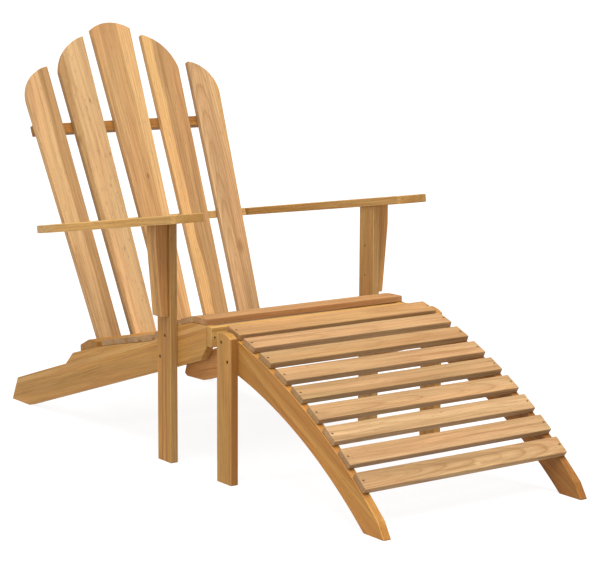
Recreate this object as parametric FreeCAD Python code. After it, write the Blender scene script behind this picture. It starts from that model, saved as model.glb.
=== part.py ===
"""Adirondack garden chair in teak with a separate slatted footrest.

Every board is its own solid, fastened with countersunk wood screws that also
are their own solids.  Frame: X across the chair, the sitter looks along -Y,
Z up from the floor.  The model is worked out with Y = 0 at the front face of
the chair's front legs, and is moved at the end so that the origin is under
the middle of the whole set.  Sizes are millimetres.
"""
import FreeCAD, Part
import math
import os

Vector = FreeCAD.Vector

# ---- stock -----------------------------------------------------------------
FRAME_BOARD = 20.0       # thickness of stringers, legs, arms, apron and rails
SEAT_BOARD = 15.0        # thickness of seat and footrest slats
BACK_BOARD = 16.0        # thickness of back slats
LEG_WIDTH = 58.0
EASED_EDGE = 1.6         # radius that every board's edges are sanded to

# ---- chair frame -----------------------------------------------------------
STRINGER_OUT = 290.0     # outer face of a stringer, from the middle
STRINGER_SLOPE = 0.3155  # fall of a stringer towards the floor behind
STRINGER_DEPTH = 84.0    # upright depth of its plain rear stretch
HEEL_BACK_Y = 837.0
HEEL_FRONT_Y = 742.0
HEEL_TOP_Y = 806.0
STEP_LOW_Y = 540.0       # foot and head of the step behind the seat
STEP_HIGH = (503.0, 182.0)
STRINGER_NOSE_Y = -125.0
NOSE_TOP_Z = 349.0
NOSE_BEVEL_Z = 300.0
NOSE_BEVEL_Y = -101.0

# ---- seat ------------------------------------------------------------------
SEAT_HALF = 288.0
SEAT_SLATS = 8
SEAT_SLAT_WIDTH = 50.0
FRONT_SLAT_WIDTH = 54.0
FRONT_SLAT_GAP = 6.0
SEAT_PITCH = 65.0
APRON_HEIGHT = 47.0
APRON_TOP_Z = 349.0
BOTTOM_RAIL_FRONT_Y = 385.0
BOTTOM_RAIL_BACK_Y = 467.0
BOTTOM_RAIL_RIDGE = (425.0, 229.0)

# ---- arms ------------------------------------------------------------------
ARM_SLOPE = 0.1525
ARM_TOP_Z = 594.5        # height of the arm's top over the legs' front face
ARM_IN = 282.0
ARM_OUT = 372.0
ARM_FRONT = -113.0       # these four run along the sloping arm
ARM_TAPER = 430.0
ARM_SPLICE = 575.0
ARM_BACK = 618.0
ARM_BACK_IN = 297.0
ARM_BACK_OUT = 330.0
ARM_CORNER = 14.0
BRACKET_FRONT_Y = 8.0
BRACKET_BACK_Y = 52.0
BRACKET_BOTTOM_Z = 353.0
BRACKET_KINK_Z = 525.0
BRACKET_TOP_REACH = 32.0
BRACKET_BOTTOM_REACH = 17.0

# ---- back ------------------------------------------------------------------
RECLINE = math.radians(25.0)
BACK_FOOT_Y = 328.5      # where the slats' front plane would meet the floor
# the slats' lower ends, measured up along the back, stand on the bottom rail
BACK_LOW = ((BOTTOM_RAIL_RIDGE[0] - BACK_FOOT_Y) * math.sin(RECLINE)
            + BOTTOM_RAIL_RIDGE[1] * math.cos(RECLINE))
BACK_REF = 828.0         # where the upper widths below are given
UPPER_RAIL_TOP = 838.5
UPPER_RAIL_HEIGHT = 28.0
UPPER_RAIL_HALF = 289.0
ARM_RAIL_DEPTH = 27.0

# half positions of each slat's two edges at the low end and at BACK_REF
CENTRE_EDGE = (35.0, 52.5)
SECOND_INNER = (79.5, 87.0)
SECOND_OUTER = (150.5, 177.5)
OUTER_INNER = (185.5, 210.5)
OUTER_OUTER = (251.0, 292.5)
# heights along the back where each slat's rounded top starts, bulges and ends
CENTRE_TOP = (1093.0, 1111.0)
SECOND_TOP = (1074.0, 975.0)
SECOND_BULGE = (151.5, 1038.5)
OUTER_TOP = (992.0, 888.0)
OUTER_BULGE = (276.5, 958.5)

# ---- footrest --------------------------------------------------------------
RAIL_OUT = 288.0         # outer face of a footrest rail
FOOT_SLAT_HALF = 286.0
FOOT_SLATS = 9
FOOT_SLAT_WIDTH = 47.0
FIRST_SLAT_WIDTH = 53.0
FOOT_PITCH = 68.0
FIRST_SLAT_ANGLE = 14.89  # degrees from the crown of the slats' arc
CROWN_Y = 146.1          # centre and radius of the arc over the slats
CROWN_Z = -959.7
CROWN_RADIUS = 1369.2
UNDER_Y = 61.5           # centre and radius of the rail's underside
UNDER_Z = -887.5
UNDER_RADIUS = 1184.4
RAIL_BACK_Y = -200.0
TOE_TOP_Y = -772.0
TOE_Y = -794.0
FOOT_LEG_FRONT_Y = -253.0
FOOT_LEG_BACK_Z = 347.5
FOOT_LEG_CROWN = (-219.0, 350.5)
FOOT_LEG_FRONT_Z = 339.5
TAIL_SLOPE = 0.315
TAIL_REACH_Y = 4.0       # how far the tucked arms run back under the seat

# ---- screws ----------------------------------------------------------------
SLAT_HEAD = 2.8          # head radius of the screws in slats and rails
LEG_HEAD = 4.2           # head radius of the screws through the legs
HEAD_HEIGHT = 2.4
SHANK_RADIUS = 1.8
SHALLOW = 0.8            # how deep a head sits under the board's face
DEEP = 3.0               # the same for the counterbored leg screws

parts = {}
screws = {}


# ---- small helpers ---------------------------------------------------------
def point_yz(y, z):
    return Vector(0.0, y, z)


def polygon(points):
    """Closed straight-sided wire through (y, z) pairs."""
    corners = [point_yz(y, z) for y, z in points]
    return Part.makePolygon(corners + corners[:1])


def across(wire, x_low, x_high):
    """Solid of a YZ outline that runs from one X to another."""
    face = Part.Face(wire)
    solid = face.extrude(Vector(x_high - x_low, 0.0, 0.0))
    solid.translate(Vector(x_low, 0.0, 0.0))
    return solid


def eased(solid, radius=EASED_EDGE):
    """The same solid with all of its edges rounded over."""
    return solid.makeFillet(radius, solid.Edges)


def side_name(side):
    """The sitter's right hand is on the -X side."""
    return "right" if side < 0 else "left"


def between(side, inner, outer):
    """X range of something that lies from inner to outer on one side."""
    low, high = sorted((side * inner, side * outer))
    return low, high


def add_screw(group, head, direction, length, boards, depth=SHALLOW, radius=SLAT_HEAD):
    """One screw from a face point into the boards, which get its hole."""
    direction = Vector(direction).normalize()
    seat = head + direction * depth
    shank_start = seat + direction * HEAD_HEIGHT
    cap = Part.makeCylinder(radius, HEAD_HEIGHT, seat, direction)
    shank = Part.makeCylinder(SHANK_RADIUS, length - HEAD_HEIGHT - depth, shank_start, direction)
    screw = cap.fuse(shank)
    mouth = Part.makeCylinder(radius, depth + 2.0, head - direction * 2.0, direction)
    for name in boards:
        parts[name] = parts[name].cut([screw, mouth])
    screws.setdefault(group, []).append(screw)


# ---- chair stringers and seat line -----------------------------------------
def seat_curve():
    """Scooped line of the stringers' top edge, from the nose to the step."""
    points = [
        (STRINGER_NOSE_Y, NOSE_TOP_Z),
        (-67.0, NOSE_TOP_Z),
        (-12.0, 334.0),
        (30.0, 318.5),
        (104.0, 281.0),
        (183.0, 260.5),
        (387.0, 215.5),
        STEP_HIGH,
    ]
    curve = Part.BSplineCurve()
    curve.interpolate([point_yz(y, z) for y, z in points])
    return curve


def seat_seats():
    """Front and back foot of each seat slat on the seat line."""
    curve = seat_curve()
    start = 4.0
    seats = []
    for index in range(SEAT_SLATS):
        width = FRONT_SLAT_WIDTH if index == 0 else SEAT_SLAT_WIDTH
        front = curve.value(curve.parameterAtDistance(start, curve.FirstParameter))
        back = curve.value(curve.parameterAtDistance(start + width, curve.FirstParameter))
        seats.append((front, back))
        start += FRONT_SLAT_WIDTH + FRONT_SLAT_GAP if index == 0 else SEAT_PITCH
    return seats


def seat_line_height(y):
    """Height of the stringer's top under the bottom back rail."""
    run = (STEP_HIGH[0] - y) / (STEP_HIGH[0] - BOTTOM_RAIL_FRONT_Y)
    return STEP_HIGH[1] + run * (216.0 - STEP_HIGH[1])


def stringer_underside(y):
    return STRINGER_SLOPE * (HEEL_FRONT_Y - y)


def stringer_outline(seats):
    """Side outline: foot, underside, nose, flats under each slat, step, tail."""
    flats = []
    for front, back in seats:
        flats.append((front.y, front.z))
        flats.append((back.y, back.z))
    return [
        (HEEL_BACK_Y, 0.0),
        (HEEL_FRONT_Y, 0.0),
        (NOSE_BEVEL_Y, stringer_underside(NOSE_BEVEL_Y)),
        (STRINGER_NOSE_Y, NOSE_BEVEL_Z),
        (STRINGER_NOSE_Y, NOSE_TOP_Z),
        *flats,
        (BOTTOM_RAIL_FRONT_Y, seat_line_height(BOTTOM_RAIL_FRONT_Y)),
        STEP_HIGH,
        (STEP_LOW_Y, stringer_underside(STEP_LOW_Y) + STRINGER_DEPTH),
        (HEEL_TOP_Y, stringer_underside(HEEL_TOP_Y) + STRINGER_DEPTH),
    ]


def make_stringers(seats):
    wire = polygon(stringer_outline(seats))
    for side in (-1, 1):
        low, high = between(side, STRINGER_OUT - FRAME_BOARD, STRINGER_OUT)
        parts["stringer_" + side_name(side)] = across(wire, low, high)


def make_seat(seats):
    """Seat slats on their flats; the first one is level and closes the nose."""
    for index, (front, back) in enumerate(seats):
        along = (back - front).normalize()
        up = Vector(0.0, -along.z, along.y)
        corners = [front, back, back + up * SEAT_BOARD, front + up * SEAT_BOARD]
        wire = Part.makePolygon(corners + corners[:1])
        name = "seat_slat_%d" % (index + 1)
        parts[name] = eased(across(wire, -SEAT_HALF, SEAT_HALF))


def make_apron():
    """Board across the noses of the stringers."""
    outline = [
        (STRINGER_NOSE_Y - FRAME_BOARD, APRON_TOP_Z - APRON_HEIGHT),
        (STRINGER_NOSE_Y, APRON_TOP_Z - APRON_HEIGHT),
        (STRINGER_NOSE_Y, APRON_TOP_Z),
        (STRINGER_NOSE_Y - FRAME_BOARD, APRON_TOP_Z),
    ]
    parts["front_apron"] = eased(across(polygon(outline), -STRINGER_OUT, STRINGER_OUT))


def make_bottom_rail():
    """Rail on the stringers whose bevelled top carries the back slats' feet."""
    ridge_y, ridge_z = BOTTOM_RAIL_RIDGE
    bevel_end = ridge_z - math.tan(RECLINE) * (BOTTOM_RAIL_BACK_Y - ridge_y)
    front_z = seat_line_height(BOTTOM_RAIL_FRONT_Y)
    outline = [
        (BOTTOM_RAIL_FRONT_Y, front_z),
        (BOTTOM_RAIL_BACK_Y, seat_line_height(BOTTOM_RAIL_BACK_Y)),
        (BOTTOM_RAIL_BACK_Y, bevel_end),
        BOTTOM_RAIL_RIDGE,
        (BOTTOM_RAIL_FRONT_Y, front_z + SEAT_BOARD),
    ]
    parts["bottom_back_rail"] = eased(across(polygon(outline), -SEAT_HALF, SEAT_HALF))


# ---- legs, arms and brackets -----------------------------------------------
def arm_underside(y):
    drop = FRAME_BOARD * math.hypot(1.0, ARM_SLOPE)
    return ARM_TOP_Z - drop - ARM_SLOPE * y


def make_front_legs():
    outline = [
        (0.0, 0.0),
        (LEG_WIDTH, 0.0),
        (LEG_WIDTH, arm_underside(LEG_WIDTH)),
        (0.0, arm_underside(0.0)),
    ]
    for side in (-1, 1):
        low, high = between(side, STRINGER_OUT, STRINGER_OUT + FRAME_BOARD)
        parts["front_leg_" + side_name(side)] = eased(across(polygon(outline), low, high))


def make_brackets():
    """Tapered block under each arm, on the leg's outer face."""
    leg_face = STRINGER_OUT + FRAME_BOARD
    for side in (-1, 1):
        top = arm_underside(BRACKET_FRONT_Y) + 5.0
        outline = [
            Vector(side * leg_face, 0.0, BRACKET_BOTTOM_Z),
            Vector(side * (leg_face + BRACKET_BOTTOM_REACH), 0.0, BRACKET_BOTTOM_Z),
            Vector(side * (leg_face + BRACKET_TOP_REACH), 0.0, BRACKET_KINK_Z),
            Vector(side * (leg_face + BRACKET_TOP_REACH), 0.0, top),
            Vector(side * leg_face, 0.0, top),
        ]
        face = Part.Face(Part.makePolygon(outline + outline[:1]))
        block = face.extrude(Vector(0.0, BRACKET_BACK_Y - BRACKET_FRONT_Y, 0.0))
        block.translate(Vector(0.0, BRACKET_FRONT_Y, 0.0))
        parts["arm_bracket_" + side_name(side)] = eased(block.cut(arm_blank()))


def arm_blank():
    """A slab that fills everything above the underside of the arms."""
    reach = 200.0
    outline = [
        (-reach, arm_underside(-reach)),
        (reach, arm_underside(reach)),
        (reach, arm_underside(reach) + reach),
        (-reach, arm_underside(-reach) + reach),
    ]
    return across(polygon(outline), -ARM_OUT, ARM_OUT)


def arm_outline(side):
    """Plan of an arm: rounded in front, swept in behind to its back rail."""
    def place(x, y):
        return Vector(side * x, y, 0.0)

    turn = ARM_CORNER * (1.0 - math.sqrt(0.5))
    outer_front = (
        place(ARM_OUT - ARM_CORNER, ARM_FRONT),
        place(ARM_OUT - turn, ARM_FRONT + turn),
        place(ARM_OUT, ARM_FRONT + ARM_CORNER),
    )
    inner_front = (
        place(ARM_IN, ARM_FRONT + ARM_CORNER),
        place(ARM_IN + turn, ARM_FRONT + turn),
        place(ARM_IN + ARM_CORNER, ARM_FRONT),
    )
    sweep = (
        place(ARM_OUT, ARM_TAPER),
        place(ARM_OUT - 10.0, (ARM_TAPER + ARM_BACK) / 2),
        place(ARM_BACK_OUT, ARM_BACK),
    )
    edges = [
        Part.LineSegment(inner_front[2], outer_front[0]).toShape(),
        Part.Arc(*outer_front).toShape(),
        Part.LineSegment(outer_front[2], sweep[0]).toShape(),
        Part.Arc(*sweep).toShape(),
        Part.LineSegment(sweep[2], place(ARM_BACK_IN, ARM_BACK)).toShape(),
        Part.LineSegment(place(ARM_BACK_IN, ARM_BACK), place(ARM_BACK_IN, ARM_SPLICE)).toShape(),
        Part.LineSegment(place(ARM_BACK_IN, ARM_SPLICE), inner_front[0]).toShape(),
        Part.Arc(*inner_front).toShape(),
    ]
    return Part.Wire(edges)


def make_arms():
    tilt = -math.degrees(math.atan(ARM_SLOPE))
    for side in (-1, 1):
        arm = Part.Face(arm_outline(side)).extrude(Vector(0.0, 0.0, -FRAME_BOARD))
        arm = eased(arm)
        arm.rotate(Vector(), Vector(1.0, 0.0, 0.0), tilt)
        arm.translate(Vector(0.0, 0.0, ARM_TOP_Z))
        parts["arm_" + side_name(side)] = arm


# ---- back ------------------------------------------------------------------
def on_back(x, height, depth=0.0):
    """Point on the back: height up along the slats, depth behind their face."""
    y = BACK_FOOT_Y + height * math.sin(RECLINE) + depth * math.cos(RECLINE)
    z = height * math.cos(RECLINE) - depth * math.sin(RECLINE)
    return Vector(x, y, z)


def edge_at(edge, height):
    """Half position of a slat's straight edge at a height along the back."""
    low, high = edge
    return low + (high - low) * (height - BACK_LOW) / (BACK_REF - BACK_LOW)


def slat_solid(edges):
    backward = on_back(0.0, 0.0, BACK_BOARD) - on_back(0.0, 0.0)
    return eased(Part.Face(Part.Wire(edges)).extrude(backward))


def make_centre_slat():
    shoulder, crown = CENTRE_TOP
    low = CENTRE_EDGE[0]
    wide = edge_at(CENTRE_EDGE, shoulder)
    foot = (on_back(-low, BACK_LOW), on_back(low, BACK_LOW))
    top = (on_back(-wide, shoulder), on_back(0.0, crown), on_back(wide, shoulder))
    parts["back_slat_3"] = slat_solid([
        Part.LineSegment(foot[0], foot[1]).toShape(),
        Part.LineSegment(foot[1], top[2]).toShape(),
        Part.Arc(*top).toShape(),
        Part.LineSegment(top[0], foot[0]).toShape(),
    ])


def make_side_slat(name, side, inner, outer, top, bulge):
    """A slat with a high inner corner and a top that rounds off outwards."""
    inner_top, outer_top = top
    foot_in = on_back(side * inner[0], BACK_LOW)
    foot_out = on_back(side * outer[0], BACK_LOW)
    corner_in = on_back(side * edge_at(inner, inner_top), inner_top)
    corner_out = on_back(side * edge_at(outer, outer_top), outer_top)
    middle = on_back(side * bulge[0], bulge[1])
    parts[name] = slat_solid([
        Part.LineSegment(foot_in, foot_out).toShape(),
        Part.LineSegment(foot_out, corner_out).toShape(),
        Part.Arc(corner_out, middle, corner_in).toShape(),
        Part.LineSegment(corner_in, foot_in).toShape(),
    ])


def make_back_slats():
    make_centre_slat()
    for side, second, outer in ((-1, "back_slat_2", "back_slat_1"), (1, "back_slat_4", "back_slat_5")):
        make_side_slat(second, side, SECOND_INNER, SECOND_OUTER, SECOND_TOP, SECOND_BULGE)
        make_side_slat(outer, side, OUTER_INNER, OUTER_OUTER, OUTER_TOP, OUTER_BULGE)


def make_back_rails():
    """Upper rail flat on the slats, and the rail that joins the arms."""
    low = UPPER_RAIL_TOP - UPPER_RAIL_HEIGHT
    corners = [
        on_back(0.0, low, BACK_BOARD),
        on_back(0.0, UPPER_RAIL_TOP, BACK_BOARD),
        on_back(0.0, UPPER_RAIL_TOP, BACK_BOARD + FRAME_BOARD),
        on_back(0.0, low, BACK_BOARD + FRAME_BOARD),
    ]
    wire = Part.makePolygon(corners + corners[:1])
    parts["upper_back_rail"] = eased(across(wire, -UPPER_RAIL_HALF, UPPER_RAIL_HALF))

    top_front = back_face_on_arm_plane(ARM_TOP_Z)
    bottom_front = back_face_on_arm_plane(arm_underside(0.0))
    back_step = Vector(0.0, ARM_RAIL_DEPTH, -ARM_SLOPE * ARM_RAIL_DEPTH)
    corners = [bottom_front, top_front, top_front + back_step, bottom_front + back_step]
    wire = Part.makePolygon(corners + corners[:1])
    parts["arm_back_rail"] = eased(across(wire, -ARM_BACK_IN, ARM_BACK_IN))


def back_face_on_arm_plane(height_at_front):
    """Where the slats' rear face meets a plane with the slope of the arms."""
    lean = math.tan(RECLINE)
    start = BACK_FOOT_Y + BACK_BOARD / math.cos(RECLINE)
    z = (height_at_front - ARM_SLOPE * start) / (1.0 + ARM_SLOPE * lean)
    return point_yz(start + lean * z, z)


# ---- footrest --------------------------------------------------------------
def crown_height(y, drop=0.0):
    """Height of the slats' arc at y, or of an arc that lies under it."""
    return CROWN_Z + math.sqrt((CROWN_RADIUS - drop) ** 2 - (CROWN_Y - y) ** 2)


def under_height(y):
    return UNDER_Z + math.sqrt(UNDER_RADIUS ** 2 - (UNDER_Y - y) ** 2)


def make_footrest_rails():
    """Two curved rails from the toe on the floor up to behind the legs."""
    heel_y = UNDER_Y - math.sqrt(UNDER_RADIUS ** 2 - UNDER_Z ** 2)
    top_mid = (TOE_TOP_Y + RAIL_BACK_Y) / 2
    under_mid = (heel_y + RAIL_BACK_Y) / 2
    toe_top = point_yz(TOE_TOP_Y, crown_height(TOE_TOP_Y, SEAT_BOARD))
    back_top = point_yz(RAIL_BACK_Y, crown_height(RAIL_BACK_Y, SEAT_BOARD))
    back_low = point_yz(RAIL_BACK_Y, under_height(RAIL_BACK_Y))
    top_arc = Part.Arc(toe_top, point_yz(top_mid, crown_height(top_mid, SEAT_BOARD)), back_top)
    under_arc = Part.Arc(back_low, point_yz(under_mid, under_height(under_mid)), point_yz(heel_y, 0.0))
    wire = Part.Wire([
        top_arc.toShape(),
        Part.LineSegment(back_top, back_low).toShape(),
        under_arc.toShape(),
        Part.LineSegment(point_yz(heel_y, 0.0), point_yz(TOE_Y, 0.0)).toShape(),
        Part.LineSegment(point_yz(TOE_Y, 0.0), toe_top).toShape(),
    ])
    for side in (-1, 1):
        low, high = between(side, RAIL_OUT - FRAME_BOARD, RAIL_OUT)
        parts["footrest_rail_" + side_name(side)] = eased(across(wire, low, high))


def make_footrest_legs():
    back_y = FOOT_LEG_FRONT_Y + LEG_WIDTH
    shoulder_front = point_yz(FOOT_LEG_FRONT_Y, FOOT_LEG_FRONT_Z)
    shoulder_back = point_yz(back_y, FOOT_LEG_BACK_Z)
    crown = point_yz(*FOOT_LEG_CROWN)
    wire = Part.Wire([
        Part.LineSegment(point_yz(back_y, 0.0), point_yz(FOOT_LEG_FRONT_Y, 0.0)).toShape(),
        Part.LineSegment(point_yz(FOOT_LEG_FRONT_Y, 0.0), shoulder_front).toShape(),
        Part.Arc(shoulder_front, crown, shoulder_back).toShape(),
        Part.LineSegment(shoulder_back, point_yz(back_y, 0.0)).toShape(),
    ])
    for side in (-1, 1):
        low, high = between(side, RAIL_OUT, RAIL_OUT + FRAME_BOARD)
        parts["footrest_leg_" + side_name(side)] = eased(across(wire, low, high))


def make_footrest_tails():
    """Straight arms lapped inside the rails that tuck in under the seat."""
    def top(y):
        return 296.0 - TAIL_SLOPE * (y + 139.0)

    outline = [
        (-300.0, 282.0),
        (-300.0, 310.0),
        (-236.0, top(-236.0)),
        (TAIL_REACH_Y - 14.0, top(TAIL_REACH_Y - 14.0)),
        (TAIL_REACH_Y, 215.0),
        (TAIL_REACH_Y - 10.0, 209.0),
        (-77.0, 211.0),
        (-139.0, 230.0),
    ]
    for side in (-1, 1):
        inner = RAIL_OUT - 2.0 * FRAME_BOARD
        low, high = between(side, inner, inner + FRAME_BOARD)
        parts["footrest_tail_" + side_name(side)] = eased(across(polygon(outline), low, high))


def footrest_slat_frames():
    """Middle of each slat's underside, its upward normal and its width."""
    frames = []
    for index in range(FOOT_SLATS):
        width = FIRST_SLAT_WIDTH if index == 0 else FOOT_SLAT_WIDTH
        back = math.radians(FIRST_SLAT_ANGLE) + index * FOOT_PITCH / CROWN_RADIUS
        middle = back + width / 2 / CROWN_RADIUS
        up = Vector(0.0, -math.sin(middle), math.cos(middle))
        foot = Vector(0.0, CROWN_Y, CROWN_Z) + up * (CROWN_RADIUS - SEAT_BOARD)
        frames.append((foot, up, width))
    return frames


def make_footrest_slats(frames):
    for index, (foot, up, width) in enumerate(frames):
        along = Vector(0.0, up.z, -up.y) * (width / 2)
        corners = [foot - along, foot + along, foot + along + up * SEAT_BOARD, foot - along + up * SEAT_BOARD]
        wire = Part.makePolygon(corners + corners[:1])
        name = "footrest_slat_%d" % (index + 1)
        parts[name] = eased(across(wire, -FOOT_SLAT_HALF, FOOT_SLAT_HALF))


# ---- screws ----------------------------------------------------------------
def screw_legs():
    """Two counterbored screws, set diagonally, through each leg."""
    for side in (-1, 1):
        name = side_name(side)
        inward = Vector(-side, 0.0, 0.0)
        for y, z in ((25.0, 306.0), (47.0, 252.0)):
            head = Vector(side * (STRINGER_OUT + FRAME_BOARD), y, z)
            add_screw("leg_screws", head, inward, 36.0,
                      ["front_leg_" + name, "stringer_" + name], DEEP, LEG_HEAD)
        for y, z in ((-213.0, 328.0), (-238.0, 286.0)):
            head = Vector(side * (RAIL_OUT + FRAME_BOARD), y, z)
            add_screw("footrest_leg_screws", head, inward, 36.0,
                      ["footrest_leg_" + name, "footrest_rail_" + name], DEEP, LEG_HEAD)


def screw_seat(seats):
    """One screw at each end of every slat, of the bottom rail and the apron."""
    for side in (-1, 1):
        x = side * (STRINGER_OUT - FRAME_BOARD / 2)
        stringer = "stringer_" + side_name(side)
        for index, (front, back) in enumerate(seats):
            along = (back - front).normalize()
            up = Vector(0.0, -along.z, along.y)
            head = (front + back) * 0.5 + up * SEAT_BOARD + Vector(x, 0.0, 0.0)
            add_screw("seat_screws", head, up * -1.0, 32.0,
                      ["seat_slat_%d" % (index + 1), stringer])
        rise = BOTTOM_RAIL_RIDGE[1] - seat_line_height(BOTTOM_RAIL_FRONT_Y) - SEAT_BOARD
        run = BOTTOM_RAIL_RIDGE[0] - BOTTOM_RAIL_FRONT_Y
        middle_y = BOTTOM_RAIL_FRONT_Y + run / 2
        middle_z = seat_line_height(BOTTOM_RAIL_FRONT_Y) + SEAT_BOARD + rise / 2
        add_screw("seat_screws", Vector(x, middle_y, middle_z), Vector(0.0, -0.2, -1.0), 38.0,
                  ["bottom_back_rail", stringer])
        apron_face = STRINGER_NOSE_Y - FRAME_BOARD
        add_screw("apron_screws", Vector(x, apron_face, 325.0), Vector(0.0, 1.0, 0.0), 45.0,
                  ["front_apron", stringer])


def slat_middle(index, height):
    """X of the middle of back slat 1 to 5 at a height along the back."""
    pairs = {3: None, 2: (SECOND_INNER, SECOND_OUTER), 1: (OUTER_INNER, OUTER_OUTER)}
    mirror = min(index, 6 - index)
    if pairs[mirror] is None:
        return 0.0
    inner, outer = pairs[mirror]
    middle = (edge_at(inner, height) + edge_at(outer, height)) / 2
    return middle if index > 3 else -middle


def screw_back():
    """Screws from behind and from below, so none shows on the slats' faces."""
    forward = on_back(0.0, 0.0, -1.0) - on_back(0.0, 0.0)
    up_back = on_back(0.0, 1.0) - on_back(0.0, 0.0)
    rail_middle = UPPER_RAIL_TOP - UPPER_RAIL_HEIGHT / 2
    arm_line = Vector(0.0, -1.0, ARM_SLOPE)
    arm_front = (back_face_on_arm_plane(ARM_TOP_Z) + back_face_on_arm_plane(arm_underside(0.0))) * 0.5
    arm_back = arm_front + Vector(0.0, ARM_RAIL_DEPTH, -ARM_SLOPE * ARM_RAIL_DEPTH)
    for index in range(1, 6):
        slat = "back_slat_%d" % index
        for offset in (-16.0, 16.0):
            x = slat_middle(index, rail_middle) + offset
            head = on_back(x, rail_middle, BACK_BOARD + FRAME_BOARD)
            add_screw("back_screws", head, forward, 30.0, ["upper_back_rail", slat])
        x = slat_middle(index, arm_front.z / math.cos(RECLINE))
        add_screw("back_screws", arm_back + Vector(x, 0.0, 0.0), arm_line, 38.0,
                  ["arm_back_rail", slat])
        foot = on_back(slat_middle(index, BACK_LOW), BACK_LOW, BACK_BOARD / 2)
        start = foot - up_back * rail_thickness_under(foot)
        add_screw("back_screws", start, up_back, 50.0, ["bottom_back_rail", slat])


def rail_thickness_under(foot):
    """Wood of the bottom rail under a slat, measured along the slat."""
    slope = seat_line_height(0.0) - seat_line_height(1.0)
    gap = foot.z - seat_line_height(foot.y)
    return gap / (math.cos(RECLINE) + slope * math.sin(RECLINE))


def screw_arms():
    """Arms onto legs, brackets and back rail; brackets from inside the legs."""
    slope_run = math.hypot(1.0, ARM_SLOPE)
    down = Vector(0.0, -ARM_SLOPE / slope_run, -1.0 / slope_run)
    for side in (-1, 1):
        name = side_name(side)
        arm = "arm_" + name
        leg_x = side * (STRINGER_OUT + FRAME_BOARD / 2)
        for y in (14.0, 44.0):
            head = Vector(leg_x, y, ARM_TOP_Z - ARM_SLOPE * y)
            add_screw("arm_screws", head, down, 52.0, [arm, "front_leg_" + name])
        bracket_x = side * (STRINGER_OUT + FRAME_BOARD + BRACKET_TOP_REACH / 2)
        head = Vector(bracket_x, 36.0, ARM_TOP_Z - ARM_SLOPE * 36.0)
        add_screw("arm_screws", head, down, 48.0, [arm, "arm_bracket_" + name])
        rail = back_face_on_arm_plane(ARM_TOP_Z - FRAME_BOARD / 2)
        rail_y = rail.y + ARM_RAIL_DEPTH / 2
        head = Vector(side * (ARM_BACK_OUT + 4.0), rail_y, rail.z - ARM_SLOPE * ARM_RAIL_DEPTH / 2)
        add_screw("arm_screws", head, Vector(-side, 0.0, 0.0), 72.0, [arm, "arm_back_rail"], 4.0)
        for z in (395.0, 470.0):
            head = Vector(side * STRINGER_OUT, 35.0, z)
            add_screw("bracket_screws", head, Vector(side, 0.0, 0.0), 31.0,
                      ["front_leg_" + name, "arm_bracket_" + name])


def screw_footrest(frames):
    """One screw at each slat end, and two through each tucked arm."""
    for side in (-1, 1):
        name = side_name(side)
        x = side * (RAIL_OUT - FRAME_BOARD / 2)
        for index, (foot, up, width) in enumerate(frames):
            head = foot + up * SEAT_BOARD + Vector(x, 0.0, 0.0)
            add_screw("footrest_slat_screws", head, up * -1.0, 30.0,
                      ["footrest_slat_%d" % (index + 1), "footrest_rail_" + name])
        for y, z in ((-278.0, 297.0), (-222.0, 300.0)):
            head = Vector(side * (RAIL_OUT - 2.0 * FRAME_BOARD), y, z)
            add_screw("footrest_tail_screws", head, Vector(side, 0.0, 0.0), 33.0,
                      ["footrest_tail_" + name, "footrest_rail_" + name])


# ---- assembly --------------------------------------------------------------
def build():
    seats = seat_seats()
    frames = footrest_slat_frames()
    make_stringers(seats)
    make_seat(seats)
    make_apron()
    make_bottom_rail()
    make_front_legs()
    make_brackets()
    make_arms()
    make_back_slats()
    make_back_rails()
    make_footrest_rails()
    make_footrest_legs()
    make_footrest_tails()
    make_footrest_slats(frames)
    screw_legs()
    screw_seat(seats)
    screw_back()
    screw_arms()
    screw_footrest(frames)
    for name, group in screws.items():
        parts[name] = Part.makeCompound(group)


def write():
    """Save every board and screw group, with the origin under the middle of the set."""
    os.makedirs("parts", exist_ok=True)
    heel = parts["stringer_left"].optimalBoundingBox(False).YMax
    toe = parts["footrest_rail_left"].optimalBoundingBox(False).YMin
    for name, shape in parts.items():
        shape.translate(Vector(0.0, -(heel + toe) / 2, 0.0))
        shape.exportStep("parts/%s.step" % name)


build()
write()
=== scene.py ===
"""Looks for the Adirondack chair and its footrest.

The boards are oiled teak, each cut from its own plank, and the screws are steel.
"""

import math

import bpy
import numpy as np
from mathutils import Matrix, Vector


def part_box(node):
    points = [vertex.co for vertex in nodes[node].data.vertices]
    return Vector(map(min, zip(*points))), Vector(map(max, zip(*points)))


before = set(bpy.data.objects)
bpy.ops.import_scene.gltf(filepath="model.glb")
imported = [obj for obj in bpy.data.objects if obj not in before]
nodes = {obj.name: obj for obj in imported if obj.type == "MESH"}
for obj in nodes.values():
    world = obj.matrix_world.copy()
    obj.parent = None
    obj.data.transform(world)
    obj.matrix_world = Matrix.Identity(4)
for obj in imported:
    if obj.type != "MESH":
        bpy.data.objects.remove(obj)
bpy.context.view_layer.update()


# ---- node helpers ----------------------------------------------------------
# The colour sockets of Blender's Mix node, which has a set for each type of value.
MIX_FACTOR, MIX_A, MIX_B, MIX_RESULT = 0, 6, 7, 2


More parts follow.
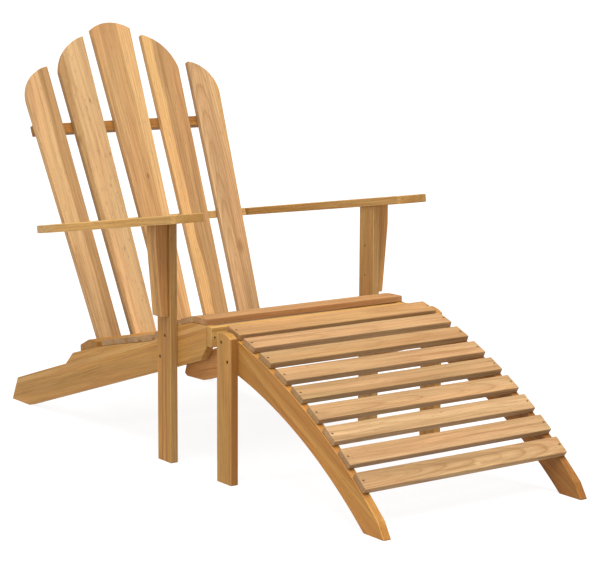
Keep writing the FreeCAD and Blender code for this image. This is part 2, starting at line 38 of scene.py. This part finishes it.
class Graph:
    """Short calls for building the nodes of a material or a world."""

    def __init__(self, owner):
        self.tree = owner.node_tree

    def link(self, output, node, socket):
        self.tree.links.new(output, node.inputs[socket])

    def feed(self, node, socket, value):
        """Set a socket to a plain value, or link it if the value is another socket."""
        if isinstance(value, bpy.types.NodeSocket):
            self.link(value, node, socket)
        else:
            node.inputs[socket].default_value = value

    def add(self, kind, inputs=None, **settings):
        node = self.tree.nodes.new(kind)
        for key, value in settings.items():
            setattr(node, key, value)
        for socket, value in (inputs or {}).items():
            self.feed(node, socket, value)
        return node

    def math(self, operation, a, b=0.0):
        return self.add("ShaderNodeMath", {0: a, 1: b}, operation=operation).outputs[0]

    def vector(self, operation, a, b, output=0):
        node = self.add("ShaderNodeVectorMath", {0: a, 1: b}, operation=operation)
        return node.outputs[output]

    def range(self, value, low, high, to_low=0.0, to_high=1.0, kind="SMOOTHSTEP"):
        return self.add("ShaderNodeMapRange", {
            "Value": value, "From Min": low, "From Max": high,
            "To Min": to_low, "To Max": to_high,
        }, interpolation_type=kind).outputs[0]

    def ramp(self, value, stops):
        node = self.add("ShaderNodeValToRGB", {"Fac": value})
        elements = node.color_ramp.elements
        while len(elements) < len(stops):
            elements.new(0.5)
        for element, (position, color) in zip(elements, stops):
            element.position = position
            element.color = color
        return node.outputs["Color"]

    def mix(self, factor, a, b, blend="MIX"):
        node = self.add("ShaderNodeMix", data_type="RGBA", blend_type=blend)
        self.feed(node, MIX_FACTOR, factor)
        self.feed(node, MIX_A, a)
        self.feed(node, MIX_B, b)
        return node.outputs[MIX_RESULT]


def new_material(name):
    """A material with nodes, and its Principled shader."""
    material = bpy.data.materials.new(name)
    material.use_nodes = True
    return material, material.node_tree.nodes["Principled BSDF"]


# ---- camera ----------------------------------------------------------------
# The camera stands in front of the chair's right side, a little above it.
LEG_FACE_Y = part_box("front_leg_right")[0][1]
CAMERA_FROM_LEGS = Vector((-2.8252, -4.0237, 1.2282))
CAMERA_YAW = math.radians(35.70)
CAMERA_PITCH = math.radians(9.60)
CAMERA_ROLL = math.radians(0.31)
CAMERA_LENS = 123.1
SENSOR_WIDTH = 36.0
SHIFT_X = -0.0009
SHIFT_Y = 0.0091
FURTHEST_SEEN = 100.0


def add_camera():
    forward = Vector((
        math.sin(CAMERA_YAW) * math.cos(CAMERA_PITCH),
        math.cos(CAMERA_YAW) * math.cos(CAMERA_PITCH),
        -math.sin(CAMERA_PITCH),
    ))
    level_right = Vector((math.cos(CAMERA_YAW), -math.sin(CAMERA_YAW), 0.0))
    level_up = level_right.cross(forward)
    right = level_right * math.cos(CAMERA_ROLL) + level_up * math.sin(CAMERA_ROLL)
    up = level_up * math.cos(CAMERA_ROLL) - level_right * math.sin(CAMERA_ROLL)
    data = bpy.data.cameras.new("camera")
    data.lens = CAMERA_LENS
    data.sensor_width = SENSOR_WIDTH
    data.shift_x = SHIFT_X
    data.shift_y = SHIFT_Y
    data.clip_end = FURTHEST_SEEN
    camera = bpy.data.objects.new("camera", data)
    bpy.context.scene.collection.objects.link(camera)
    spot = CAMERA_FROM_LEGS + Vector((0.0, float(LEG_FACE_Y), 0.0))
    turn = Matrix((right, up, -forward)).transposed()
    camera.matrix_world = Matrix.Translation(spot) @ turn.to_4x4()
    bpy.context.scene.camera = camera


# ---- floor and light -------------------------------------------------------
FLOOR_RADIUS = 60.0
FLOOR_SIDES = 96
# The floor is a light table: it glows a little, so shadows on it stay faint.
FLOOR_ALBEDO = 0.15
FLOOR_GLOW = 0.88
# The studio lights the chair this much from all round, and looks white behind it.
STUDIO_GLOW = 0.31
# Azimuth, elevation, strength and spread of each light, with the angles in degrees.
LIGHTS = {
    "key": (-10.0, 72.0, 1.68, 55.0),
    "fill": (-80.0, 25.0, 0.42, 60.0),
}


def add_floor():
    """A pale floor disc under the chair."""
    mesh = bpy.data.meshes.new("floor")
    turns = [math.tau * side / FLOOR_SIDES for side in range(FLOOR_SIDES)]
    rim = [(FLOOR_RADIUS * math.cos(turn), FLOOR_RADIUS * math.sin(turn), 0.0) for turn in turns]
    mesh.from_pydata(rim, [], [list(range(FLOOR_SIDES))])
    floor = bpy.data.objects.new("floor", mesh)
    bpy.context.scene.collection.objects.link(floor)
    material, shader = new_material("floor")
    shader.inputs["Base Color"].default_value = (FLOOR_ALBEDO, FLOOR_ALBEDO, FLOOR_ALBEDO, 1.0)
    shader.inputs["Roughness"].default_value = 1.0
    shader.inputs["Specular IOR Level"].default_value = 0.0
    shader.inputs["Emission Color"].default_value = (1.0, 1.0, 1.0, 1.0)
    shader.inputs["Emission Strength"].default_value = FLOOR_GLOW
    mesh.materials.append(material)


def add_softbox(name, azimuth, elevation, strength, spread):
    """Soft light from far away; azimuth 0 is in front of the chair and 90 at its left."""
    data = bpy.data.lights.new(name, "SUN")
    data.angle = math.radians(spread)
    data.energy = strength * math.pi
    light = bpy.data.objects.new(name, data)
    bpy.context.scene.collection.objects.link(light)
    a, e = math.radians(azimuth), math.radians(elevation)
    aim = Vector((-math.sin(a) * math.cos(e), math.cos(a) * math.cos(e), -math.sin(e)))
    light.rotation_mode = "QUATERNION"
    light.rotation_quaternion = aim.to_track_quat("-Z", "Y")


def add_lighting():
    bpy.context.scene.view_settings.view_transform = "Standard"
    world = bpy.data.worlds.new("studio")
    bpy.context.scene.world = world
    world.use_nodes = True
    graph = Graph(world)
    seen = graph.add("ShaderNodeLightPath").outputs["Is Camera Ray"]
    background = world.node_tree.nodes["Background"]
    background.inputs["Color"].default_value = (1.0, 1.0, 1.0, 1.0)
    strength = graph.range(seen, 0.0, 1.0, STUDIO_GLOW, 1.0, "LINEAR")
    graph.link(strength, background, "Strength")
    for name, settings in LIGHTS.items():
        add_softbox(name, *settings)


# ---- teak ------------------------------------------------------------------
# Colours of oiled teak, as (red, green, blue).
HONEY = (0.354, 0.215, 0.102)
LIGHT_HONEY = (0.436, 0.287, 0.148)
SAPWOOD = (0.470, 0.300, 0.150)
FRAME_BROWN = (0.343, 0.162, 0.036)
FRAME_LIGHT = (0.425, 0.235, 0.070)
# Dark red that a front face takes on in shade: painted shade.
FRONT_SHADE_RED = (0.214, 0.080, 0.015)
DARK_VEIN = (0.198, 0.100, 0.036)
# A vein's colour, as parts of the heartwood's.
VEIN_PARTS = (0.60, 0.53, 0.46)
# Tints that multiply the colour of the redder and of the yellower parts.
RUDDY = (1.04, 0.97, 0.93, 1.0)
GOLDEN = (1.00, 0.995, 0.96, 1.0)

RING_SPACING = 0.0062    # metres between two growth rings
# Darkness through one growth ring, from the end of one year's growth to the next.
RING_TONES = ((0.00, 0.95), (0.14, 0.15), (0.50, 0.00), (0.86, 0.45), (1.00, 0.95))
# Where the pith is drawn at random: depth and distance aside in metres, and slope.
PITH_DEPTH = (0.035, 0.090)
PITH_ASIDE = (-0.045, 0.045)
RUN_OUT = (-0.035, 0.035)

# Noises in the grain: changes per metre across and along it, detail and roughness.
GRAIN = {
    "clouds": (16.0, 1.3, 3.0, 0.55),
    "tints": (22.0, 3.0, 3.0, 0.55),
    "streaks": (55.0, 1.2, 4.0, 0.60),
    "veins": (95.0, 1.8, 4.0, 0.65),
    "lines": (190.0, 3.5, 4.0, 0.65),
    "fibres": (430.0, 8.0, 3.0, 0.65),
    "pores": (360.0, 46.0, 2.0, 0.60),
}
NOISE_REACH = 40.0       # how far from the origin a board's noises may be taken

BAND_BLUR = 0.05         # half the width of a band's soft edge, in half widths of the board
KNOT_STRETCH = 0.45      # a knot's width as a part of its length
END_DEPTH = (0.0030, 0.0004)   # metres from a sawn end where it starts to be, and is, dark
END_DARKNESS = 0.38
# Edges: painted highlight on some boards and painted shade on the rest; least and most of it that
# shows.
EDGE_LIGHT_AND_SHADE = (0.10, 0.45)       # least and most that the colour of the edges shows
OIL_GLOSS = 0.14
OIL_ROUGHNESS = (0.46, 0.64)
BUMP_STRENGTH = 0.30
BUMP_DISTANCE = 0.0006


def shade(color, factor=1.0):
    return (color[0] * factor, color[1] * factor, color[2] * factor, 1.0)


def grey(value):
    return (value, value, value, 1.0)


def floats(values):
    return tuple(float(value) for value in values)


def board_axes(mesh):
    """Middle of a board, its long, broad and thin directions, and its half size along them."""
    mesh.calc_loop_triangles()
    co = np.empty(len(mesh.vertices) * 3)
    mesh.vertices.foreach_get("co", co)
    co = co.reshape(-1, 3)
    tri = np.empty(len(mesh.loop_triangles) * 3, dtype=np.int64)
    mesh.loop_triangles.foreach_get("vertices", tri)
    a, b, c = (co[tri.reshape(-1, 3)[:, k]] for k in range(3))
    area = np.linalg.norm(np.cross(b - a, c - a), axis=1) / 2
    centre = ((a + b + c) / 3 * area[:, None]).sum(axis=0) / area.sum()
    a, b, c = a - centre, b - centre, c - centre
    total = a + b + c
    moment = sum(np.einsum("i,ij,ik->jk", area, v, v) for v in (a, b, c, total)) / 12
    _, vectors = np.linalg.eigh(moment)
    long, broad = vectors[:, 2], vectors[:, 1]
    long = long * np.sign(long[np.argmax(np.abs(long))])
    broad = broad * np.sign(broad[np.argmax(np.abs(broad))])
    thin = np.cross(long, broad)
    middle = (co.min(axis=0) + co.max(axis=0)) / 2
    half = np.abs((co - middle) @ np.array([long, broad, thin]).T).max(axis=0)
    return middle, long, broad, thin, half


class Board(Graph):
    """A board's material, with positions measured in the board's own frame."""

    def __init__(self, name, mesh, seed):
        self.material, self.shader = new_material(name)
        super().__init__(self.material)
        middle, long, broad, thin, half = board_axes(mesh)
        self.half_long, self.half_broad = float(half[0]), float(half[1])
        self.random = np.random.default_rng(seed)
        coordinates = self.add("ShaderNodeTexCoord").outputs
        self.normal = coordinates["Normal"]
        self.thin = floats(thin)
        moved = self.vector("SUBTRACT", coordinates["Object"], floats(middle))
        self.across, self.through, self.along = (
            self.vector("DOT_PRODUCT", moved, floats(axis), "Value")
            for axis in (broad, thin, long)
        )
        # the drift is a noise itself, taken at the place without any drift
        self.place = self.point(self.across)
        drift = self.sway(3.0, 1.6, 0.012, 3.0)
        self.place = self.point(self.math("ADD", self.across, drift))

    def point(self, across):
        """Place in the board's frame; a drifting first coordinate makes the grain wander."""
        node = self.add("ShaderNodeCombineXYZ", {0: across, 1: self.through, 2: self.along})
        return node.outputs[0]

    def noise(self, per_metre_across, per_metre_along, detail=3.0, rough=0.55):
        """Noise drawn out along the grain, at a random place of its own."""
        spot = self.add("ShaderNodeMapping", {
            "Vector": self.place,
            "Location": floats(self.random.uniform(-NOISE_REACH, NOISE_REACH, 3)),
            "Scale": (per_metre_across, per_metre_across, per_metre_along),
        }).outputs[0]
        return self.add("ShaderNodeTexNoise", {
            "Vector": spot, "Scale": 1.0, "Detail": detail, "Roughness": rough,
        }).outputs["Fac"]

    def sway(self, per_metre_across, per_metre_along, size, detail=2.0):
        """Noise around zero, that reaches about size either way."""
        centred = self.math("SUBTRACT", self.noise(per_metre_across, per_metre_along, detail), 0.5)
        return self.math("MULTIPLY", centred, 2.0 * size)

    def distance(self, a, b):
        """Length of the line whose two sides are a and b."""
        squares = self.math("ADD", self.math("MULTIPLY", a, a), self.math("MULTIPLY", b, b))
        return self.math("SQRT", squares)

    def edges(self):
        """1 on the sanded edges round the two broad faces, 0 elsewhere.

        The normal lies along the thin direction on a broad face, square to it on a
        narrow one, and between the two on a sanded edge.
        """
        facing = self.vector("DOT_PRODUCT", self.normal, self.thin, "Value")
        facing = self.math("ABSOLUTE", facing)
        off_narrow = self.range(facing, 0.05, 0.30)
        off_broad = self.range(facing, 0.995, 0.93)
        return self.math("MULTIPLY", off_narrow, off_broad)


def growth_rings(board, pith_depth, pith_aside, run_out):
    """Count of rings outward from a pith beside the board, which is cut at a slight angle."""
    aside = board.math("ADD", board.across, board.sway(9.0, 1.6, 0.010))
    aside = board.math("ADD", aside, pith_aside)
    deep = board.math("ADD", board.through, pith_depth)
    deep = board.math("ADD", deep, board.math("MULTIPLY", board.along, run_out))
    deep = board.math("ADD", deep, board.sway(5.0, 2.2, 0.007))
    far = board.math("ADD", board.distance(aside, deep), board.sway(70.0, 4.0, 0.0012))
    return board.math("DIVIDE", far, RING_SPACING)


def late_wood(board, count):
    """How dark the growth rings are, from 0 to 1; some years are fainter than others."""
    tones = board.ramp(
        board.math("FRACT", count), [(position, grey(value)) for position, value in RING_TONES]
    )
    years = board.add(
        "ShaderNodeTexWhiteNoise", {"W": board.math("FLOOR", count)}, noise_dimensions="1D"
    )
    rings = board.add("ShaderNodeRGBToBW", {0: tones}).outputs[0]
    strength = board.range(years.outputs["Value"], 0.0, 1.0, 0.35, 1.0, "LINEAR")
    return board.math("MULTIPLY", rings, strength)


def add_bands(board, tone, bands, rings):
    """Strips of other wood along the board.

    Each is (low edge, high edge, colour, strength, wander): the edges are across the
    board, from -1 to 1, and wander is how far they sway.
    """
    for low, high, color, strength, wander in bands:
        sway = board.sway(4.0, 3.4, wander, 3.0)
        spot = board.math("ADD", board.math("DIVIDE", board.across, board.half_broad), sway)
        rising = board.range(spot, low - BAND_BLUR, low + BAND_BLUR)
        falling = board.range(spot, high + BAND_BLUR, high - BAND_BLUR)
        mask = board.math("MULTIPLY", board.math("MULTIPLY", rising, falling), strength)
        faint_rings = board.math("MULTIPLY", rings, 0.30)
        tone = board.mix(mask, tone, board.mix(faint_rings, shade(color), shade(color, 0.84)))
    return tone


def add_knots(board, tone, knots):
    """Pin knots with a darker halo drawn out along the grain.

    Each is (across, along, radius, colour, strength); the first two from -1 to 1.
    """
    for across, along, radius, color, strength in knots:
        aside = board.math("SUBTRACT", board.across, across * board.half_broad)
        beyond = board.math("SUBTRACT", board.along, along * board.half_long)
        beyond = board.math("MULTIPLY", beyond, KNOT_STRETCH)
        away = board.distance(aside, beyond)
        away = board.math("ADD", away, board.sway(160.0, 60.0, radius * 0.5))
        mask = board.range(away, radius * 1.8, radius * 0.3, 0.0, strength)
        tone = board.mix(mask, tone, shade(color))
    return tone


def teak(name, mesh, seed, heart=HONEY, light=LIGHT_HONEY, bands=(), knots=(),
         figure=0.5, streak=0.6, speck=0.35, pith=None, highlit_edges=False):
    """Oiled teak: growth rings cut along the board, streaks, open pores, and edges painted pale as
    a highlight on some boards and dark as shade on the others.

    heart and light are the colours of the heartwood and of the pale streaks in it.
    figure, streak and speck say how strongly rings, streaks and pores show, from 0 to 1.
    pith is (depth, distance aside, slope) of the pith from the board, drawn if None.
    The edge switch paints the edges pale, a painted highlight that is partly worn; without it the
    edges get painted shade.
    """
    board = Board(name, mesh, seed)
    drawn = [board.random.uniform(*limits) for limits in (PITH_DEPTH, PITH_ASIDE, RUN_OUT)]
    rings = late_wood(board, growth_rings(board, *(pith or drawn)))
    grain = {kind: board.noise(*settings) for kind, settings in GRAIN.items()}
    vein = (*(part * value for part, value in zip(VEIN_PARTS, heart)), 1.0)

    # heartwood in broad clouds, with pale streaks, dark veins, bands, rings and fine lines
    tone = board.ramp(grain["clouds"], [
        (0.30, shade(heart, 0.80)), (0.50, shade(heart)), (0.70, shade(heart, 1.20)),
    ])
    pale_streaks = board.range(grain["streaks"], 0.53, 0.34, 0.0, streak)
    tone = board.mix(pale_streaks, tone, shade(light))
    dark_veins = board.range(grain["veins"], 0.50, 0.68, 0.0, streak)
    tone = board.mix(dark_veins, tone, vein)
    tone = add_bands(board, tone, bands, rings)
    tone = board.mix(board.math("MULTIPLY", rings, 0.9 * figure), tone, shade(DARK_VEIN, 1.1))
    fine_lines = board.range(grain["lines"], 0.52, 0.70, 0.0, 0.8 * streak)
    tone = board.mix(fine_lines, tone, shade(DARK_VEIN, 1.25))
    tint = board.mix(board.range(grain["tints"], 0.36, 0.64), GOLDEN, RUDDY)
    tone = board.mix(1.0, tone, tint, "MULTIPLY")
    tone = add_knots(board, tone, knots)

    # fibres are a little paler or darker than the rest, and open pores are dark specks
    fibre = board.range(grain["fibres"], 0.30, 0.72, 1.14, 0.84, "LINEAR")
    fibre_grey = board.add("ShaderNodeCombineXYZ", {0: fibre, 1: fibre, 2: fibre}).outputs[0]
    tone = board.mix(1.0, tone, fibre_grey, "MULTIPLY")
    open_pores = board.range(grain["pores"], 0.60, 0.70)
    tone = board.mix(board.math("MULTIPLY", open_pores, speck), tone, shade(DARK_VEIN, 0.7))

    # sawn ends drink more oil and are darker; the edges are painted pale as a highlight, partly
    # worn, on boards with the edge switch, and painted dark as shade on the rest
    from_end = board.math("SUBTRACT", board.half_long, board.math("ABSOLUTE", board.along))
    tone = board.mix(board.range(from_end, *END_DEPTH, 0.0, END_DARKNESS), tone, vein)
    edge_highlight_and_shade = shade(light, 1.3) if highlit_edges else shade(heart, 0.55)
    edge_light_and_shade_amount = board.range(grain["clouds"], 0.35, 0.60, *EDGE_LIGHT_AND_SHADE)
    tone = board.mix(board.math("MULTIPLY", board.edges(), edge_light_and_shade_amount), tone, edge_highlight_and_shade)

    oil = board.math("ADD", grain["fibres"], board.math("MULTIPLY", grain["clouds"], 0.5))
    board.link(tone, board.shader, "Base Color")
    board.link(board.range(oil, 0.5, 1.0, *OIL_ROUGHNESS), board.shader, "Roughness")
    board.shader.inputs["Specular IOR Level"].default_value = OIL_GLOSS

    height = board.math("MULTIPLY", grain["fibres"], 0.6)
    height = board.math("SUBTRACT", height, board.math("MULTIPLY", open_pores, 0.6))
    height = board.math("SUBTRACT", height, board.math("MULTIPLY", rings, 0.25))
    bump = board.add("ShaderNodeBump", {
        "Height": height, "Strength": BUMP_STRENGTH, "Distance": BUMP_DISTANCE,
    })
    board.link(bump.outputs[0], board.shader, "Normal")
    return board.material


# ---- boards ----------------------------------------------------------------
# The looks of each kind of board: the first whose start fits a board's name is its kind.
KINDS = [
    ("back_slat", dict()),
    ("footrest_slat", dict()),
    ("seat_slat", dict()),
    ("arm_bracket", dict(heart=FRAME_BROWN, light=FRAME_LIGHT)),
    # Arms and frame pieces get a painted highlight on their edges, partly worn; slats and brackets
    # get painted shade there.
    ("arm_", dict(highlit_edges=True, heart=(0.408, 0.230, 0.068), light=(0.480, 0.308, 0.124))),
    ("", dict(highlit_edges=True, heart=FRAME_BROWN, light=FRAME_LIGHT)),
]

# What makes single boards different from the rest of their kind.
BOARDS = {
    "back_slat_1": dict(
        heart=(0.305, 0.172, 0.072), light=(0.360, 0.212, 0.092), figure=0.55,
        bands=[(-1.6, 0.22, (0.470, 0.294, 0.138), 0.85, 0.16)],
    ),
    "back_slat_2": dict(
        heart=(0.446, 0.280, 0.134), light=(0.515, 0.335, 0.165),
        figure=0.35, streak=0.45, speck=0.55,
        bands=[(-1.6, -0.45, (0.286, 0.160, 0.060), 0.80, 0.22)],
        knots=[(-0.75, 0.30, 0.0050, (0.200, 0.090, 0.030), 0.6)],
    ),
    "back_slat_3": dict(
        heart=(0.390, 0.222, 0.092), light=(0.445, 0.268, 0.120), figure=0.35,
        bands=[(0.34, 1.6, (0.510, 0.314, 0.138), 0.85, 0.10)],
        knots=[(0.10, -0.02, 0.0034, DARK_VEIN, 0.9)],
    ),
    "back_slat_4": dict(
        heart=(0.322, 0.182, 0.076), light=(0.372, 0.220, 0.098), figure=0.45,
        bands=[(-1.6, -0.36, (0.535, 0.322, 0.130), 0.88, 0.42)],
    ),
    "back_slat_5": dict(
        heart=(0.445, 0.273, 0.133), light=(0.500, 0.318, 0.156),
        figure=0.75, pith=(0.030, 0.020, 0.075),
        bands=[(0.70, 1.6, (0.468, 0.265, 0.092), 0.60, 0.10)],
        knots=[(0.15, -0.44, 0.0080, (0.215, 0.105, 0.040), 0.7)],
    ),
    "upper_back_rail": dict(heart=(0.252, 0.106, 0.020), light=(0.304, 0.147, 0.035)),
    "arm_left": dict(heart=(0.380, 0.207, 0.060), light=(0.450, 0.282, 0.110)),
    "arm_bracket_right": dict(
        heart=(0.385, 0.206, 0.066), light=(0.446, 0.262, 0.098),
        bands=[
            (-0.5, 0.0, DARK_VEIN, 0.5, 0.12),
            # The bracket's front face gets a redder colour of its own: painted shade.
            (-1.6, -0.88, (0.392, 0.176, 0.058), 0.8, 0.02),
        ],
    ),
    # Lighter than the near bracket: painted light that lifts the shade from the near side of the
    # chair.
    "arm_bracket_left": dict(heart=(0.551, 0.265, 0.082)),
    "front_leg_right": dict(
        heart=(0.340, 0.167, 0.038), light=(0.396, 0.221, 0.062),
        bands=[
            (-0.45, -0.20, DARK_VEIN, 0.60, 0.16),
            (0.15, 0.34, DARK_VEIN, 0.50, 0.16),
            # The leg's front face gets a colour of its own: painted light, lifting the arm's
            # shadow on that face.
            (-1.6, -0.92, (0.330, 0.200, 0.076), 0.7, 0.02),
        ],
    ),
    # Lighter than the near leg: painted light that lifts the shade from the near side of the
    # chair.
    "front_leg_left": dict(heart=(0.392, 0.224, 0.077), light=(0.466, 0.295, 0.127)),
    "stringer_right": dict(
        heart=(0.371, 0.189, 0.047), bands=[(0.32, 0.50, (0.452, 0.270, 0.095), 0.7, 0.03)],
    ),
    "stringer_left": dict(heart=(0.385, 0.190, 0.052), light=(0.460, 0.270, 0.090)),
    "front_apron": dict(heart=(0.412, 0.232, 0.066), light=(0.482, 0.311, 0.111)),
    "seat_slat_1": dict(heart=(0.380, 0.196, 0.079), light=(0.462, 0.264, 0.118)),
    "footrest_slat_1": dict(heart=(0.343, 0.197, 0.081)),
    "footrest_slat_3": dict(
        heart=(0.300, 0.176, 0.076), light=(0.390, 0.246, 0.117),
        bands=[(0.2, 1.6, (0.337, 0.216, 0.102), 0.6, 0.4)],
    ),
    "footrest_slat_5": dict(
        heart=(0.312, 0.192, 0.088), bands=[(-0.3, 0.3, SAPWOOD, 0.35, 0.25)],
    ),
    "footrest_slat_6": dict(figure=0.75, pith=(0.018, 0.004, 0.050)),
    "footrest_slat_7": dict(
        heart=(0.347, 0.220, 0.109), bands=[(-0.2, 0.5, LIGHT_HONEY, 0.6, 0.30)],
    ),
    "footrest_slat_9": dict(
        heart=(0.322, 0.196, 0.092), light=(0.400, 0.255, 0.124),
        figure=1.0, pith=(0.016, 0.002, 0.090),
        knots=[(-0.45, 0.11, 0.0036, (0.440, 0.285, 0.140), 0.7)],
    ),
    "footrest_rail_right": dict(heart=(0.346, 0.154, 0.032), light=(0.423, 0.227, 0.061)),
    "footrest_rail_left": dict(heart=(0.232, 0.088, 0.016), light=(0.264, 0.122, 0.029)),
    "footrest_tail_right": dict(heart=(0.300, 0.125, 0.035), light=(0.370, 0.180, 0.055)),
    "footrest_leg_right": dict(
        heart=(0.334, 0.172, 0.042), light=(0.411, 0.235, 0.074),
        # The leg's front face is painted dark red as shade.
        bands=[(-1.6, -0.94, FRONT_SHADE_RED, 0.8, 0.02)],
    ),
}


def looks_of(name):
    """The looks of a board's kind, with what is special about that board."""
    kind = next(values for start, values in KINDS if name.startswith(start))
    return {**kind, **BOARDS.get(name, {})}


# ---- steel -----------------------------------------------------------------
# Screw heads are painted dark brown, as the shade in their counterbores.
SHADED_STEEL_DARK = (0.09, 0.06, 0.04, 1.0)
SHADED_STEEL_PALE = (0.22, 0.16, 0.11, 1.0)
STEEL_CLOUDS = 900.0     # changes per metre of its tone and gloss
STEEL_SCRATCHES = 4200.0


def steel(name):
    """Bare steel screw heads, painted dark brown as the shade in their counterbores, a little
    dull.
    """
    material, shader = new_material(name)
    graph = Graph(material)
    place = graph.add("ShaderNodeTexCoord").outputs["Object"]
    cloud, scratch = (
        graph.add("ShaderNodeTexNoise", {"Vector": place, "Scale": scale, "Detail": detail})
        .outputs["Fac"]
        for scale, detail in ((STEEL_CLOUDS, 3.0), (STEEL_SCRATCHES, 2.0))
    )
    graph.link(graph.ramp(cloud, [(0.3, SHADED_STEEL_DARK), (0.6, SHADED_STEEL_PALE)]), shader, "Base Color")
    graph.link(graph.range(cloud, 0.3, 0.7, 0.30, 0.5), shader, "Roughness")
    shader.inputs["Metallic"].default_value = 1.0
    bump = graph.add("ShaderNodeBump", {"Height": scratch, "Strength": 0.2, "Distance": 0.0002})
    graph.link(bump.outputs[0], shader, "Normal")
    return material


def dress_nodes():
    """Give every board a material of its own, and all screws the same one."""
    screw_steel = steel("screw_steel")
    for seed, name in enumerate(sorted(nodes)):
        mesh = nodes[name].data
        if name.endswith("screws"):
            material = screw_steel
        else:
            material = teak("teak_" + name, mesh, seed, **looks_of(name))
        mesh.materials.clear()
        mesh.materials.append(material)


add_camera()
add_floor()
add_lighting()
dress_nodes()
